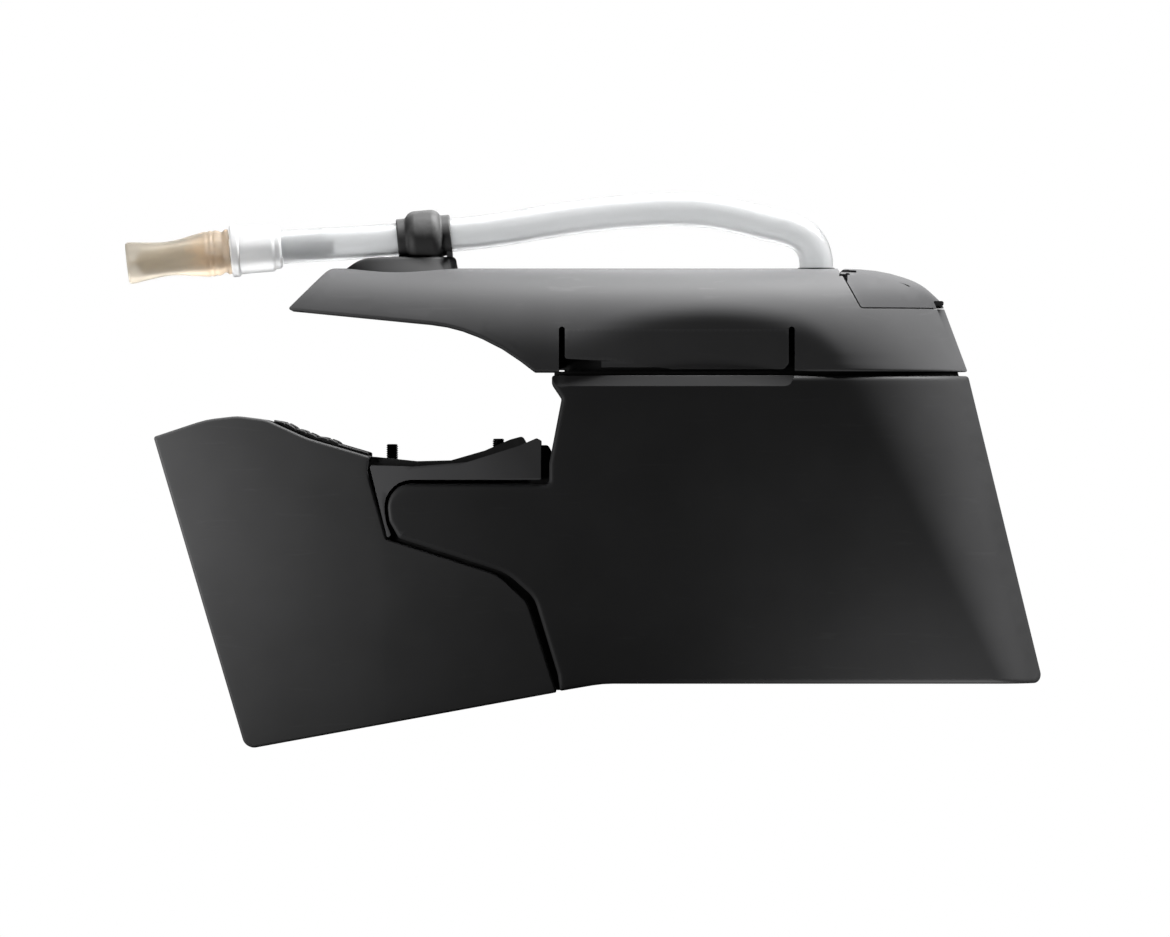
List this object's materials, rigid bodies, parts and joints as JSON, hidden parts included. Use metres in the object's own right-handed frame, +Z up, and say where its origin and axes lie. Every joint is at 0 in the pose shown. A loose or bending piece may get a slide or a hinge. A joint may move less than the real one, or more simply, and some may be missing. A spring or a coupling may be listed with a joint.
{
  "type": "bicycle drink system",
  "caption": "Slim front-mounted bicycle drink reservoir with a lift-off cover, hinged fill door, curved drinking straw, stem bracket and head-tube fairing.",
  "frame": {"origin": "centre of the two stem studs, on the plane of the front stud's seat", "axes": "+X forward along the bicycle, +Y to the rider's left, +Z up along the studs"},
  "size_m": [0.3036, 0.058, 0.183],
  "materials": {
    "black_nylon": "fine matt moulded",
    "grey_black_nylon": "fine matt moulded",
    "black_tank": "satin moulded",
    "black_cover": "satin moulded",
    "grey_door": "soft matt",
    "black_rubber": "matt",
    "black_steel": "black oxide",
    "pin_steel": "plain",
    "brass": "plain",
    "clear_tube": "milky translucent tube",
    "white_connector": "milky moulded",
    "tan_silicone": "soft satin silicone"
  },
  "bodies": {
    "mount": {"bracket": "black_nylon", "bed_pad": "black_rubber", "stem_studs": "black_steel", "fairing": "grey_black_nylon", "edge_strips": "black_rubber", "fairing_screws": "black_steel", "rail_inserts": "brass"},
    "reservoir": {"reservoir": "black_tank", "neck_gasket": "black_rubber"},
    "cover": {"top_cover": "black_cover", "door_pin": "pin_steel", "port_gasket": "black_rubber", "straw_grommet": "black_rubber", "dip_tube": "clear_tube", "straw": "clear_tube", "holder_base": "black_nylon", "holder_ring": "black_rubber", "holder_screw": "pin_steel", "valve_connector": "white_connector", "bite_valve": "tan_silicone"},
    "latch_right": {"latch_right": "black_cover"},
    "latch_left": {"latch_left": "black_cover"},
    "door": {"fill_door": "grey_door"}
  },
  "joints": [
    {"name": "reservoir_slide", "type": "slide", "parent": "mount", "child": "reservoir", "axis": [1, 0, 0], "range_m": [0, 0.055]},
    {"name": "cover_lift", "type": "slide", "parent": "reservoir", "child": "cover", "axis": [0, 0, 1], "range_m": [0, 0.11]},
    {"name": "latch_right_flex", "type": "hinge", "parent": "cover", "child": "latch_right", "pos_m": [0.0765, -0.0268, 0.0446], "axis": [-1, 0, 0], "range_deg": [0, 8], "stiffness_Nm_per_rad": 0.6},
    {"name": "latch_left_flex", "type": "hinge", "parent": "cover", "child": "latch_left", "pos_m": [0.0765, 0.0268, 0.0446], "axis": [1, 0, 0], "range_deg": [0, 8], "stiffness_Nm_per_rad": 0.6},
    {"name": "fill_door_hinge", "type": "hinge", "parent": "cover", "child": "door", "pos_m": [0.133, 0, 0.0617], "axis": [0, -1, 0], "range_deg": [0, 95]}
  ]
}
